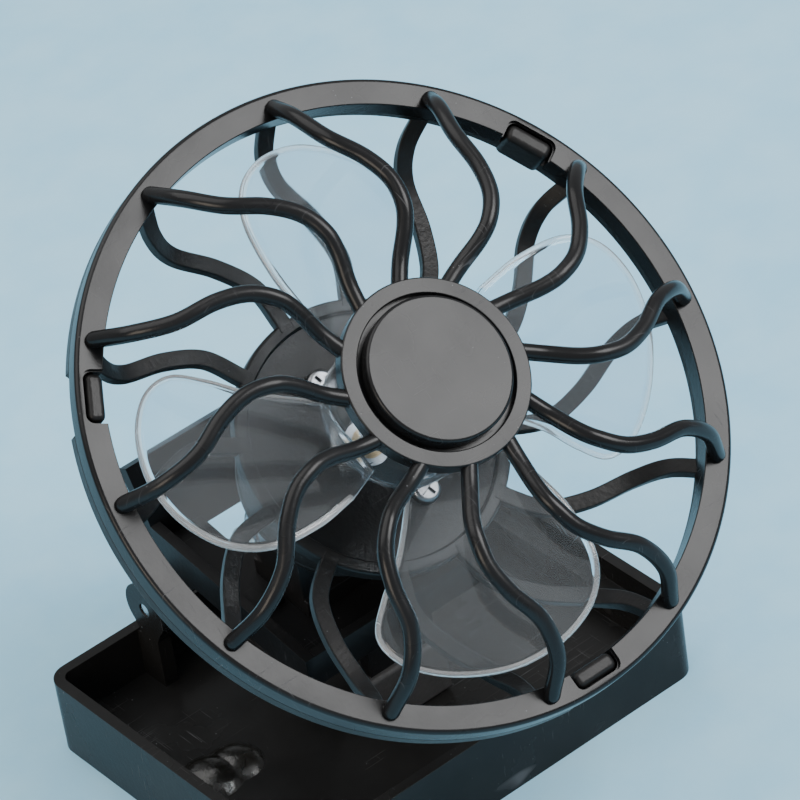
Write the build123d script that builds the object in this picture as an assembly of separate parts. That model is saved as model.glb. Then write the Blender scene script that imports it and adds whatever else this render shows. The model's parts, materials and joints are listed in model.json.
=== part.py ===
from build123d import *
from math import cos, radians, sin
import os

os.makedirs("parts", exist_ok=True)

# Clip-on solar hat fan.  Row frame, millimetres: +X along the long side of the panel
# housing, -Y the way the fan faces, +Z up.  The origin is the centre of the housing's
# bottom face, on the table.  The fan head is modelled flat in its own frame (z = 0 at the
# front face of the guard ring, +z out of the front) and placed by HEAD.

# ---- driving dimensions -------------------------------------------------------------
# Panel housing: an open tray with the solar panel in a recess underneath
HOUSING_X = 67.6
HOUSING_Y = 53.4
HOUSING_Z = 11.5
HOUSING_CORNER = 3.0
HOUSING_WALL = 1.6
PANEL_RECESS = 2.2
FLOOR_THICKNESS = 1.6
LEDGE_DEPTH = 2.2
LEDGE_DROP = 3.2

# Solar panel: board, cells, ribbons and resin in the recess, leads up through the floor
LEAD_X = [-26.4, -23.2]
LEAD_Y = 1.6
LEAD_HOLE_RADIUS = 0.8
BOARD_THICKNESS = 1.0
BOARD_MARGIN = 0.3
CELL_THICKNESS = 0.3
CELL_COUNT = 5
CELL_PITCH = 12.0
CELL_WIDTH = 11.4
CELL_LENGTH = 46.0
CELL_RIBBON_X = [-2.9, 2.9]
CELL_RIBBON_WIDTH = 1.0
CELL_RIBBON_THICKNESS = 0.12
PANEL_PIN_RADIUS = 0.6
PANEL_PIN_PROUD = 1.0
BLOB_CAPS = [(-26.6, 4.6, 2.2), (-22.6, 4.0, 1.8)]

# Clip: the pin, the ears it sits in and the jaw that turns on it
PIN_Y = 22.4
PIN_Z = 16.2
PIN_RADIUS = 1.0
PIN_RECESS = 0.2
RUNNING_GAP = 0.05
EAR_RADIUS = 4.0
EAR_THICKNESS = 2.2
EAR_NECK = 1.8
EAR_BOSS_RADIUS = 2.4
EAR_BOSS_HEIGHT = 1.2
JAW_EAR_RADIUS = 3.1
JAW_WIDTH = 31.0
JAW_GAP = 1.6
JAW_WALL = 1.6
JAW_BACK_Y = 24.8
JAW_FRONT_Y = -8.6
JAW_BACK_RIM_Z = 28.2
JAW_FRONT_RIM_Z = 22.4
JAW_RIM_HEIGHT = 3.2
THUMB_TAB_HEIGHT = 7.6
THUMB_TAB_LEAN = 25.0
GRIP_BARS = 3
GRIP_BAR_RADIUS = 0.5
GRIP_BAR_FIRST = 2.4
GRIP_BAR_STEP = 1.9
GRIP_BAR_INSET = 2.5
WINDOW_HALF = 7.6
WINDOW_FRONT_Y = 14.0
NOSE_HALF = 5.5
NOSE_BOTTOM = 8.4
NOSE_THICKNESS = 2.0
PAD_WALL = 0.9
REST_GAP = 0.35

# Clip spring: one wire, a coil round the pin and two legs
SPRING_WIRE = 0.9
SPRING_COIL_RADIUS = 2.4
SPRING_TURNS = 4
SPRING_PITCH = SPRING_WIRE + 0.15
SPRING_COIL_HALF = SPRING_TURNS * SPRING_PITCH / 2
SPRING_LEG_END_Y = 12.4
SPRING_ARM_BEND_Y = 15.8
SPRING_ARM_END_Y = 7.0

# Fan head: guard rings, spokes and hub, as (radius, angle, height) in the head's frame
TILT = 41.0
RING_CENTRE = (0.0, -18.7, 61.3)
RING_OUTER = 43.1
RING_INNER = 39.5
RING_EDGE = 0.6
FRONT_RING_DEPTH = 2.8
REAR_RING_DEPTH = 1.8
REAR_RING_STEP = 0.35
SPOKES = 12
SPOKE_RADIUS = 1.1
SPOKE_R = [40.9, 37.5, 33.0, 29.0, 25.5, 22.0, 19.0, 15.0, 11.2]
SPOKE_ANGLE = [19.9, 20.5, 18.5, 12.6, 8.0, 6.0, 6.5, 10.9, 17.2]
FRONT_SPOKE_Z = [0.3, 5.4, 8.4, 9.8, 10.6, 10.9, 10.3, 9.2, 8.9]
RIBBON_R = [41.0, 37.5, 34.0, 29.0, 24.0, 19.0, 17.4]
RIBBON_ANGLE = [19.2, 20.3, 18.5, 11.9, 5.8, 4.9, 5.4]
RIBBON_Z = [-3.9, -7.8, -10.9, -12.5, -13.7, -14.6, -14.7]
RIBBON_WIDTH = 2.2
RIBBON_THICKNESS = 1.5
HUB_RADIUS = 12.1
HUB_TOP = 10.65
HUB_BOTTOM = 7.7
DISC_SEAT_RADIUS = 10.0
DISC_RADIUS = 9.4
DISC_TOP = 11.95
DISC_SEAT_Z = 9.8
SNAP_ANGLES = [30.0, 150.0, 270.0]
SNAP_WIDTH = 6.0
SNAP_INNER = 39.6
SNAP_OUTER = 40.8
SNAP_PROUD = 0.5
POCKET_WIDTH = 7.0
POCKET_OUTER = 42.1
POCKET_DEPTH = 0.5
NOTCH_WIDTH = 8.0
NOTCH_DEPTH = 0.7

# Motor housing behind the rear guard
PLATE_RADIUS = 18.5
PLATE_RIM_Z = -14.0
PLATE_FACE_Z = -15.0
PLATE_RIM_WIDTH = 1.8
PLATE_THICKNESS = 1.2
CUP_OUTER = 13.3
CUP_INNER = 12.3
CUP_BACK_Z = -30.0
COVER_BACK_Z = -32.0
PIVOT_Z = -36.5
KNUCKLE_RADIUS = 4.2
KNUCKLE_WIDTH = 11.0

# Motor: a flat can type, 24.4 mm across
CAN_RADIUS = 12.2
CAN_WALL = 0.6
CAN_FRONT_Z = PLATE_FACE_Z - PLATE_THICKNESS
CAN_BACK_Z = CAN_FRONT_Z - 11.4
BOSS_RADIUS = 3.1
BOSS_FRONT_Z = CAN_FRONT_Z + 1.0
BUSHING_RADIUS = 2.2
CAP_THICKNESS = 1.4
TERMINAL_X = 6.0
MAGNET_INNER = 9.9
MAGNET_FRONT_Z = CAN_FRONT_Z - 1.4
MAGNET_BACK_Z = CAN_BACK_Z + 2.2
MAGNET_GAP = 9.0
CORE_RADIUS = 9.4
CORE_FRONT_Z = -19.4
CORE_BACK_Z = -23.6
CORE_NECK = 2.6
POLES = 3
COMMUTATOR_RADIUS = 2.3
SHAFT_RADIUS = 1.0
SHAFT_FRONT_Z = 4.8
MOTOR_SCREW_RADIUS = 9.3
MOTOR_SCREW_ANGLES = [102.0, 282.0]

# Rotor: clear hub and blades; a blade's outline is (out from the axis, across) points
ROTOR_HUB_RADIUS = 10.0
ROTOR_HUB_WALL = 1.1
ROTOR_HUB_FRONT = 6.4
ROTOR_HUB_BACK = -5.6
ROTOR_BOSS_BACK = -11.0
BLADES = 4
BLADE_FIRST_ANGLE = 79.6
BLADE_PITCH = 22.1
BLADE_Z = -1.3
BLADE_THICKNESS = 0.8
BLADE_OUTLINE = [
    (14.0, 10.7), (20.0, 12.8), (27.0, 13.4), (32.0, 11.0), (35.1, 6.0), (36.1, 0.0), (35.3, -5.2),
    (33.0, -10.5), (29.4, -14.6), (25.2, -15.8), (21.2, -13.2), (17.6, -9.7), (14.0, -7.2),
]

# Tilt bracket on the jaw
BRACKET_WIDTH = 16.6
BRACKET_CHEEK = 2.6
BRACKET_BASE_Y = 11.0
BRACKET_SCREW_X = [-3.4, 3.4]
BRACKET_SCREW_RADIUS = 0.9
BRACKET_BASE_THICKNESS = 2.4
BRACKET_HEAD_RADIUS = 1.7
BRACKET_HEAD_HEIGHT = 1.1
TILT_SCREW_RADIUS = 1.5

# ---- derived ------------------------------------------------------------------------
HEAD = Plane(
    origin=RING_CENTRE,
    x_dir=(1, 0, 0),
    z_dir=(0, -sin(radians(TILT)), cos(radians(TILT))),
)
PIVOT_Y = RING_CENTRE[1] - PIVOT_Z * sin(radians(TILT))
PIVOT_HEIGHT = RING_CENTRE[2] + PIVOT_Z * cos(radians(TILT))
RIM_SLOPE = (JAW_BACK_RIM_Z - JAW_FRONT_RIM_Z) / (JAW_BACK_Y - JAW_FRONT_Y)
FLOOR_TOP = PANEL_RECESS + FLOOR_THICKNESS
BOARD_BOTTOM = PANEL_RECESS - BOARD_THICKNESS
CELL_BOTTOM = BOARD_BOTTOM - CELL_THICKNESS
JAW_HALF = JAW_WIDTH / 2
EAR_INNER_X = JAW_HALF + JAW_GAP


def polar(radius, angle, z=0.0):
    """A point of the head's frame, from its radius, its angle in degrees and its height."""
    return (radius * cos(radians(angle)), radius * sin(radians(angle)), z)


def tube(outer, inner, low, high):
    """A ring between two heights, round the z axis."""
    height = high - low
    ring = Cylinder(outer, height) - Cylinder(inner, height + 1)
    return Pos(0, 0, (low + high) / 2) * ring


def disc(radius, low, high):
    """A solid round plate between two heights, round the z axis."""
    return Pos(0, 0, (low + high) / 2) * Cylinder(radius, high - low)


def x_cylinder(radius, x_low, x_high, y, z):
    """A solid cylinder that runs along X."""
    return Pos((x_low + x_high) / 2, y, z) * Rot(0, 90, 0) * Cylinder(radius, x_high - x_low)


def block(x_range, y_range, z_range):
    """A box given by its low and high sides."""
    sides = [high - low for low, high in (x_range, y_range, z_range)]
    centre = [(low + high) / 2 for low, high in (x_range, y_range, z_range)]
    return Pos(*centre) * Box(*sides)


def side_profile(points, x_low, x_high):
    """A plate whose (Y, Z) outline is given, from x_low to x_high."""
    outline = make_face(Polyline([(0, y, z) for y, z in points], close=True))
    return Pos(x_low, 0, 0) * extrude(outline, amount=x_high - x_low, dir=(1, 0, 0))


def rim_z(y):
    """Height of the jaw's upper rim at a given Y."""
    return JAW_FRONT_RIM_Z + (y - JAW_FRONT_Y) * RIM_SLOPE


def jaw_floor_top(y):
    return rim_z(y) - JAW_RIM_HEIGHT


def jaw_floor_bottom(y):
    return jaw_floor_top(y) - JAW_WALL


# ---- base: housing and solar panel --------------------------------------------------
def rounded_slab(size_x, size_y, corner, low, high):
    outline = RectangleRounded(size_x, size_y, corner)
    return Pos(0, 0, low) * extrude(outline, amount=high - low)


def housing_ear(side):
    """Round ear on a narrower neck by the back wall; it holds one end of the clip pin."""
    inner = side * EAR_INNER_X
    outer = side * (EAR_INNER_X + EAR_THICKNESS)
    x_low, x_high = sorted((inner, outer))
    neck = side_profile(
        [
            (PIN_Y - EAR_NECK, FLOOR_TOP - 0.5),
            (PIN_Y - EAR_NECK, HOUSING_Z),
            (PIN_Y - EAR_RADIUS + 0.3, PIN_Z - 1.2),
            (PIN_Y + EAR_RADIUS - 0.3, PIN_Z - 1.2),
            (PIN_Y + EAR_NECK, HOUSING_Z),
            (HOUSING_Y / 2 - HOUSING_WALL / 2, HOUSING_Z - 0.5),
            (HOUSING_Y / 2 - HOUSING_WALL / 2, FLOOR_TOP - 0.5),
        ],
        x_low,
        x_high,
    )
    ear = neck + x_cylinder(EAR_RADIUS, x_low, x_high, PIN_Y, PIN_Z)
    x_low, x_high = sorted((inner, inner - side * EAR_BOSS_HEIGHT))
    return ear + x_cylinder(EAR_BOSS_RADIUS, x_low, x_high, PIN_Y, PIN_Z)


def panel_housing():
    shell = rounded_slab(HOUSING_X, HOUSING_Y, HOUSING_CORNER, 0, HOUSING_Z)
    inner_x = HOUSING_X - 2 * HOUSING_WALL
    inner_y = HOUSING_Y - 2 * HOUSING_WALL
    inner_corner = HOUSING_CORNER - HOUSING_WALL
    shell -= rounded_slab(inner_x, inner_y, inner_corner, FLOOR_TOP, HOUSING_Z + 1)
    shell -= rounded_slab(inner_x, inner_y, inner_corner, -1, PANEL_RECESS)
    end_x = HOUSING_X / 2 - HOUSING_WALL
    half_y = HOUSING_Y / 2 - HOUSING_WALL
    shell += block(
        (end_x - LEDGE_DEPTH, end_x + 0.5),
        (-half_y - 0.5, half_y + 0.5),
        (FLOOR_TOP - 0.5, HOUSING_Z - LEDGE_DROP),
    )
    for side in (-1, 1):
        shell += housing_ear(side)
    shell -= x_cylinder(PIN_RADIUS, -HOUSING_X / 2, HOUSING_X / 2, PIN_Y, PIN_Z)
    for x in LEAD_X:
        shell -= Pos(x, LEAD_Y, FLOOR_TOP) * Cylinder(LEAD_HOLE_RADIUS, 2 * FLOOR_THICKNESS + 1)
    return shell


def solar_backing_board():
    size_x = HOUSING_X - 2 * HOUSING_WALL - 2 * BOARD_MARGIN
    size_y = HOUSING_Y - 2 * HOUSING_WALL - 2 * BOARD_MARGIN
    board = rounded_slab(size_x, size_y, 1.0, BOARD_BOTTOM, PANEL_RECESS)
    for x in LEAD_X:
        board -= Pos(x, LEAD_Y, PANEL_RECESS) * Cylinder(PANEL_PIN_RADIUS, 4)
    return board


def cell_centres():
    first = -(CELL_COUNT - 1) / 2 * CELL_PITCH
    return [first + i * CELL_PITCH for i in range(CELL_COUNT)]


def solar_cells():
    half = CELL_WIDTH / 2
    length = CELL_LENGTH / 2
    return [
        block((x - half, x + half), (-length, length), (CELL_BOTTOM, BOARD_BOTTOM))
        for x in cell_centres()
    ]


def cell_ribbons():
    """Two flat bus ribbons across the sunny face of each cell."""
    half = CELL_RIBBON_WIDTH / 2
    length = CELL_LENGTH / 2 - 1
    z_range = (CELL_BOTTOM - CELL_RIBBON_THICKNESS, CELL_BOTTOM)
    return [
        block((x + offset - half, x + offset + half), (-length, length), z_range)
        for x in cell_centres()
        for offset in CELL_RIBBON_X
    ]


def resin_cover():
    """Clear resin over the cells, flush with the housing's bottom rim."""
    size_x = HOUSING_X - 2 * HOUSING_WALL
    size_y = HOUSING_Y - 2 * HOUSING_WALL
    cover = rounded_slab(size_x, size_y, HOUSING_CORNER - HOUSING_WALL, 0, BOARD_BOTTOM)
    for solid in solar_cells() + cell_ribbons():
        cover -= solid
    return cover


def panel_terminals():
    """Tinned pins of the panel, up through the board and the tray floor."""
    pin = disc(PANEL_PIN_RADIUS, BOARD_BOTTOM, FLOOR_TOP + PANEL_PIN_PROUD)
    return [Pos(x, LEAD_Y, 0) * pin for x in LEAD_X]


def glue_blob():
    """Melted glue over the two joints, a low rounded mound on the tray floor."""
    caps = []
    for x, radius, height in BLOB_CAPS:
        sphere_radius = (radius**2 + height**2) / (2 * height)
        cap = Pos(x, LEAD_Y, FLOOR_TOP + height - sphere_radius) * Sphere(sphere_radius)
        half = sphere_radius + 1
        caps.append(cap & block((x - half, x + half), (-half, half), (FLOOR_TOP, HOUSING_Z)))
    mound = caps[0] + caps[1]
    for pin in panel_terminals():
        mound -= pin
    return mound


# ---- clip ---------------------------------------------------------------------------
def clip_pin():
    end = EAR_INNER_X + EAR_THICKNESS - PIN_RECESS
    return x_cylinder(PIN_RADIUS, -end, end, PIN_Y, PIN_Z)


def jaw_side(side):
    """Side wall of the jaw: a rim that falls to the front and an ear down to the pin."""
    x_low = JAW_HALF - JAW_WALL if side > 0 else -JAW_HALF
    back = JAW_BACK_Y
    front = JAW_FRONT_Y
    wall = side_profile(
        [
            (front, rim_z(front)),
            (back, rim_z(back)),
            (back, PIN_Z + 3.0),
            (PIN_Y + 2.0, PIN_Z),
            (PIN_Y - 2.0, PIN_Z),
            (PIN_Y - 7.5, jaw_floor_bottom(PIN_Y - 7.5)),
            (front, jaw_floor_bottom(front)),
        ],
        x_low,
        x_low + JAW_WALL,
    )
    return wall + x_cylinder(JAW_EAR_RADIUS, x_low, x_low + JAW_WALL, PIN_Y, PIN_Z)


def thumb_tab():
    """Back wall of the jaw, carried on up as a tab that leans back."""
    lean = radians(THUMB_TAB_LEAN)
    top_y = JAW_BACK_Y + THUMB_TAB_HEIGHT * sin(lean)
    top_z = JAW_BACK_RIM_Z + THUMB_TAB_HEIGHT * cos(lean)
    across = JAW_WALL + 0.2
    tab = side_profile(
        [
            (JAW_BACK_Y - across, jaw_floor_bottom(JAW_BACK_Y)),
            (JAW_BACK_Y, jaw_floor_bottom(JAW_BACK_Y)),
            (JAW_BACK_Y, JAW_BACK_RIM_Z - 0.6),
            (top_y, top_z),
            (top_y - across * cos(lean), top_z + across * sin(lean)),
            (JAW_BACK_Y - across, JAW_BACK_RIM_Z),
        ],
        -JAW_HALF,
        JAW_HALF,
    )
    for i in range(GRIP_BARS):
        along = GRIP_BAR_FIRST + GRIP_BAR_STEP * i
        tab += x_cylinder(
            GRIP_BAR_RADIUS,
            -JAW_HALF + GRIP_BAR_INSET,
            JAW_HALF - GRIP_BAR_INSET,
            JAW_BACK_Y + along * sin(lean) - 0.1,
            JAW_BACK_RIM_Z - 0.2 + along * cos(lean),
        )
    return tab


def nose_block(grow, top):
    """The nose's tongue, or the slot of the pad on it, grown on its two sides."""
    front = JAW_FRONT_Y + 0.6
    return block((-NOSE_HALF - grow, NOSE_HALF + grow), (front, front + NOSE_THICKNESS), (NOSE_BOTTOM, top))


def clip_jaw():
    """Upper jaw: an open channel with a nose at the front and a thumb tab at the back."""
    front = JAW_FRONT_Y
    back = JAW_BACK_Y
    jaw = side_profile(
        [
            (front, jaw_floor_top(front)),
            (back, jaw_floor_top(back)),
            (back, jaw_floor_bottom(back)),
            (front, jaw_floor_bottom(front)),
        ],
        -JAW_HALF,
        JAW_HALF,
    )
    jaw -= block((-WINDOW_HALF, WINDOW_HALF), (WINDOW_FRONT_Y, back - 1.8), (0, 40))
    for side in (-1, 1):
        jaw += jaw_side(side)
    jaw += block((-JAW_HALF, JAW_HALF), (front, front + JAW_WALL), (18.0, rim_z(front)))
    jaw += nose_block(0, 19.0)
    jaw += side_profile(
        [
            (4.0, jaw_floor_top(4.0) - 0.2),
            (5.2, jaw_floor_top(5.2) - 0.2),
            (5.2, jaw_floor_top(5.2) + 1.1),
            (4.0, jaw_floor_top(4.0) + 1.1),
        ],
        -JAW_HALF + 0.5,
        -BRACKET_WIDTH / 2 - 0.6,
    )
    jaw += thumb_tab()
    jaw -= x_cylinder(PIN_RADIUS + RUNNING_GAP, -JAW_HALF - 1, JAW_HALF + 1, PIN_Y, PIN_Z)
    for x in BRACKET_SCREW_X:
        jaw -= Pos(x, PIVOT_Y, jaw_floor_top(PIVOT_Y)) * Cylinder(BRACKET_SCREW_RADIUS, 8)
    return jaw


def nose_pad():
    """Soft lip pushed over the lower edge of the nose; it bites on the tray floor."""
    front = JAW_FRONT_Y + 0.6 - PAD_WALL
    back = front + NOSE_THICKNESS + 2 * PAD_WALL
    half = NOSE_HALF + PAD_WALL
    outer = block((-half, half), (front, back), (FLOOR_TOP + REST_GAP, 13.0))
    outer = fillet(outer.edges().filter_by(Axis.X), 0.7)
    return outer - nose_block(0, 14.0)


def spring_coil_path():
    helix = Helix(SPRING_PITCH, SPRING_PITCH * SPRING_TURNS, SPRING_COIL_RADIUS)
    return Pos(-SPRING_COIL_HALF, PIN_Y, PIN_Z) * Rot(0, 90, 0) * helix


def wire_run(points):
    """Round spring wire along straight runs with small bends."""
    path = FilletPolyline(points, radius=SPRING_WIRE * 1.4)
    start = path @ 0
    section = Plane(origin=start, z_dir=path % 0) * Circle(SPRING_WIRE / 2)
    return sweep(section, path=path)


def clip_spring_coil():
    """Coil of the clip spring round the pin, with the leg that presses on the tray floor."""
    path = spring_coil_path()
    section = Plane(origin=path @ 0, z_dir=path % 0) * Circle(SPRING_WIRE / 2)
    coil = sweep(section, path=path, is_frenet=True)
    end = path @ 1
    floor_z = FLOOR_TOP + SPRING_WIRE / 2
    x = end.X - 0.05
    y = PIN_Y - SPRING_COIL_RADIUS
    leg = wire_run(
        [(x, y, PIN_Z + 0.6), (x, y, floor_z + 1.0), (x, y - 1.0, floor_z), (x, SPRING_LEG_END_Y, floor_z)]
    )
    return coil + leg


def clip_spring_arm():
    """Moving leg of the clip spring: up from the coil and forward under the jaw floor."""
    x = -SPRING_COIL_HALF - SPRING_WIRE - 0.2
    under = SPRING_WIRE / 2 + 0.02
    return wire_run(
        [
            (x, PIN_Y - 1.4, PIN_Z + SPRING_COIL_RADIUS),
            (x, PIN_Y - 4.0, PIN_Z + SPRING_COIL_RADIUS + 1.2),
            (x, SPRING_ARM_BEND_Y, jaw_floor_bottom(SPRING_ARM_BEND_Y) - under),
            (x, SPRING_ARM_END_Y, jaw_floor_bottom(SPRING_ARM_END_Y) - under),
        ]
    )


# ---- tilt hinge ---------------------------------------------------------------------
def tilt_bracket():
    """Clevis that stands on the jaw floor and holds the fan head's knuckle."""
    half_base = BRACKET_BASE_Y / 2
    low_y = PIVOT_Y - half_base
    high_y = PIVOT_Y + half_base
    half = BRACKET_WIDTH / 2
    base = side_profile(
        [
            (low_y, jaw_floor_top(low_y)),
            (high_y, jaw_floor_top(high_y)),
            (high_y, jaw_floor_top(high_y) + BRACKET_BASE_THICKNESS),
            (low_y, jaw_floor_top(low_y) + BRACKET_BASE_THICKNESS),
        ],
        -half,
        half,
    )
    bracket = base
    for x_low in (-half, half - BRACKET_CHEEK):
        bracket += side_profile(
            [
                (low_y + 0.6, jaw_floor_top(low_y + 0.6) + 1.0),
                (high_y - 0.6, jaw_floor_top(high_y - 0.6) + 1.0),
                (PIVOT_Y + KNUCKLE_RADIUS, PIVOT_HEIGHT),
                (PIVOT_Y - KNUCKLE_RADIUS, PIVOT_HEIGHT),
            ],
            x_low,
            x_low + BRACKET_CHEEK,
        )
        bracket += x_cylinder(KNUCKLE_RADIUS, x_low, x_low + BRACKET_CHEEK, PIVOT_Y, PIVOT_HEIGHT)
    bracket -= x_cylinder(TILT_SCREW_RADIUS, -half - 1, half + 1, PIVOT_Y, PIVOT_HEIGHT)
    for x in BRACKET_SCREW_X:
        bracket -= Pos(x, PIVOT_Y, jaw_floor_top(PIVOT_Y)) * Cylinder(BRACKET_SCREW_RADIUS, 20)
    return bracket


def bracket_screws():
    """Two small screws up through the jaw floor into the bracket's base."""
    screws = []
    seat = jaw_floor_bottom(PIVOT_Y) - BRACKET_HEAD_RADIUS * RIM_SLOPE - 0.05
    top = jaw_floor_top(PIVOT_Y) + BRACKET_BASE_THICKNESS - 0.5
    for x in BRACKET_SCREW_X:
        shank = disc(BRACKET_SCREW_RADIUS, seat, top)
        screw = shank + disc(BRACKET_HEAD_RADIUS, seat - BRACKET_HEAD_HEIGHT, seat)
        for turn in (0, 90):
            slot = Rot(0, 0, turn) * Box(2.2, 0.5, 0.9)
            screw -= Pos(0, 0, seat - BRACKET_HEAD_HEIGHT) * slot
        screws.append(Pos(x, PIVOT_Y, 0) * screw)
    return screws


def tilt_screw():
    """Cross-slotted screw along X through both cheeks and the knuckle."""
    half = BRACKET_WIDTH / 2
    shank = x_cylinder(TILT_SCREW_RADIUS, -half - 0.6, half + 3.4, PIVOT_Y, PIVOT_HEIGHT)
    head = x_cylinder(2.8, -half - 2.4, -half - 0.6, PIVOT_Y, PIVOT_HEIGHT)
    head = fillet(head.edges().group_by(Axis.X)[0], 0.7)
    for angle in (0, 90):
        slot = Rot(angle, 0, 0) * Box(1.6, 3.6, 0.7)
        head -= Pos(-half - 2.4, PIVOT_Y, PIVOT_HEIGHT) * slot
    return shank + head


def tilt_washer():
    half = BRACKET_WIDTH / 2
    washer = x_cylinder(3.2, -half - 0.6, -half, PIVOT_Y, PIVOT_HEIGHT)
    return washer - x_cylinder(TILT_SCREW_RADIUS, -half - 1, half, PIVOT_Y, PIVOT_HEIGHT)


def tilt_nut():
    half = BRACKET_WIDTH / 2
    hexagon = Plane.YZ * RegularPolygon(3.1, 6)
    nut = Pos(half, PIVOT_Y, PIVOT_HEIGHT) * extrude(hexagon, amount=2.4, dir=(1, 0, 0))
    return nut - x_cylinder(TILT_SCREW_RADIUS, half - 1, half + 4, PIVOT_Y, PIVOT_HEIGHT)


# ---- fan head: guards ---------------------------------------------------------------
def snap_block(width, inner, outer, low, high, angle):
    middle = (inner + outer) / 2
    tab = Pos(middle, 0, (low + high) / 2) * Box(outer - inner, width, high - low)
    return Rot(0, 0, angle) * tab


def front_spoke():
    """One wavy round spoke, from the ring's front face up over the dome to the hub."""
    points = [polar(r, a, z) for r, a, z in zip(SPOKE_R, SPOKE_ANGLE, FRONT_SPOKE_Z)]
    path = Spline(points)
    section = Plane(origin=path @ 0, z_dir=path % 0) * Circle(SPOKE_RADIUS)
    return sweep(section, path=path) + Pos(*points[0]) * Sphere(SPOKE_RADIUS)


def front_guard():
    """Front guard: ring, twelve wavy spokes and the hub with a seat for its disc."""
    ring = disc(RING_OUTER, -FRONT_RING_DEPTH, 0)
    ring = fillet(ring.edges().group_by(Axis.Z)[-1], RING_EDGE)
    guard = ring - disc(RING_INNER, -FRONT_RING_DEPTH - 1, 1)
    guard += disc(HUB_RADIUS, HUB_BOTTOM, HUB_TOP)
    spoke = front_spoke()
    for i in range(SPOKES):
        guard += Rot(0, 0, i * 360 / SPOKES) * spoke
    guard -= disc(DISC_SEAT_RADIUS, DISC_SEAT_Z, DISC_TOP + 3)
    for angle in SNAP_ANGLES:
        guard -= snap_block(SNAP_WIDTH + 0.3, 36.0, SNAP_OUTER + 0.1, -4, 2, angle)
        guard -= snap_block(POCKET_WIDTH, 36.0, POCKET_OUTER, -POCKET_DEPTH, 2, angle)
    return guard


def hub_disc():
    """Plain raised disc in the middle of the front hub."""
    cap = disc(DISC_RADIUS, DISC_SEAT_Z, DISC_TOP)
    return fillet(cap.edges().group_by(Axis.Z)[-1], 0.5)


def dome_shell():
    """The thin dome that the rear ribbons are cut from."""
    half = RIBBON_THICKNESS / 2
    upper = [(r, 0, z + half) for r, z in zip(RIBBON_R, RIBBON_Z)]
    lower = [(r, 0, z - half) for r, z in zip(RIBBON_R, RIBBON_Z)]
    lower.reverse()
    edges = [
        Spline(upper),
        Line(upper[-1], lower[0]),
        Spline(lower),
        Line(lower[-1], upper[0]),
    ]
    return revolve(make_face(edges), axis=Axis.Z)


def ribbon_band():
    """Plan view of one rear ribbon, as a tall wall to cut the dome with."""
    line = []
    for r, a in zip(RIBBON_R, RIBBON_ANGLE):
        line.append(polar(r, a))
    middle = Spline(line)
    steps = 24
    left = []
    right = []
    for i in range(steps + 1):
        t = i / steps
        point = middle @ t
        along = middle % t
        across = Vector(-along.Y, along.X, 0) * (RIBBON_WIDTH / 2)
        left.append(point + across)
        right.append(point - across)
    right.reverse()
    edges = [Spline(left), Line(left[-1], right[0]), Spline(right), Line(right[-1], left[0])]
    return Pos(0, 0, -20) * extrude(make_face(edges), amount=20)


def rear_guard():
    """Rear guard: ring with snaps, ribbons, and the plate and cup that hold the motor."""
    back = -FRONT_RING_DEPTH - REAR_RING_DEPTH
    guard = tube(RING_OUTER, RING_INNER + REAR_RING_STEP, back, -FRONT_RING_DEPTH)
    ribbons = dome_shell() & ribbon_band()
    for i in range(SPOKES):
        guard += Rot(0, 0, i * 360 / SPOKES) * ribbons
    plate_back = PLATE_FACE_Z - PLATE_THICKNESS
    guard += disc(PLATE_RADIUS, plate_back, PLATE_RIM_Z)
    guard -= disc(PLATE_RADIUS - PLATE_RIM_WIDTH, PLATE_FACE_Z, 0)
    guard += tube(CUP_OUTER, CUP_INNER, CUP_BACK_Z, plate_back + 0.2)
    guard -= disc(BOSS_RADIUS + 0.1, -18, 0)
    for angle in MOTOR_SCREW_ANGLES:
        guard -= Pos(*polar(MOTOR_SCREW_RADIUS, angle, PLATE_FACE_Z)) * Cylinder(0.9, 6)
    for angle in SNAP_ANGLES:
        guard += snap_block(SNAP_WIDTH, SNAP_INNER, SNAP_OUTER, back, SNAP_PROUD - POCKET_DEPTH, angle)
        guard -= snap_block(
            NOTCH_WIDTH, RING_OUTER - NOTCH_DEPTH, RING_OUTER + 1, back - 1, 1 - FRONT_RING_DEPTH, angle
        )
    return guard


# ---- motor --------------------------------------------------------------------------
def motor_can():
    """Drawn steel can, closed at the front, with the bearing boss in the middle."""
    can = disc(CAN_RADIUS, CAN_BACK_Z, CAN_FRONT_Z)
    can -= disc(CAN_RADIUS - CAN_WALL, CAN_BACK_Z - 1, CAN_FRONT_Z - CAN_WALL)
    can += tube(BOSS_RADIUS, BUSHING_RADIUS, CAN_FRONT_Z - CAN_WALL, BOSS_FRONT_Z)
    can -= disc(BUSHING_RADIUS, CAN_FRONT_Z - 3, 0)
    for angle in MOTOR_SCREW_ANGLES:
        can -= Pos(*polar(MOTOR_SCREW_RADIUS, angle, CAN_FRONT_Z)) * Cylinder(0.8, 3)
    return can


def front_bushing():
    return tube(BUSHING_RADIUS, SHAFT_RADIUS + RUNNING_GAP, CAN_FRONT_Z - 1.6, BOSS_FRONT_Z)


def rear_bushing():
    back = CAN_BACK_Z
    return tube(BUSHING_RADIUS, SHAFT_RADIUS + RUNNING_GAP, back, back + 1.8)


def motor_end_cap():
    """Moulded cap that closes the back of the can and holds the rear bushing."""
    cap = disc(CAN_RADIUS - CAN_WALL, CAN_BACK_Z, CAN_BACK_Z + CAP_THICKNESS)
    cap -= disc(BUSHING_RADIUS, CAN_BACK_Z - 1, CAN_BACK_Z + 3)
    for side in (-1, 1):
        cap -= Pos(side * TERMINAL_X, 0, CAN_BACK_Z) * Box(0.5, 2.0, 4)
    return cap


def motor_terminals():
    """Two flat tinned tabs through the end cap."""
    low = CAN_BACK_Z - 1.6
    high = CAN_BACK_Z + CAP_THICKNESS
    tabs = []
    for side in (-1, 1):
        x = side * TERMINAL_X
        tabs.append(block((x - 0.25, x + 0.25), (-1.0, 1.0), (low, high)))
    return tabs


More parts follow.
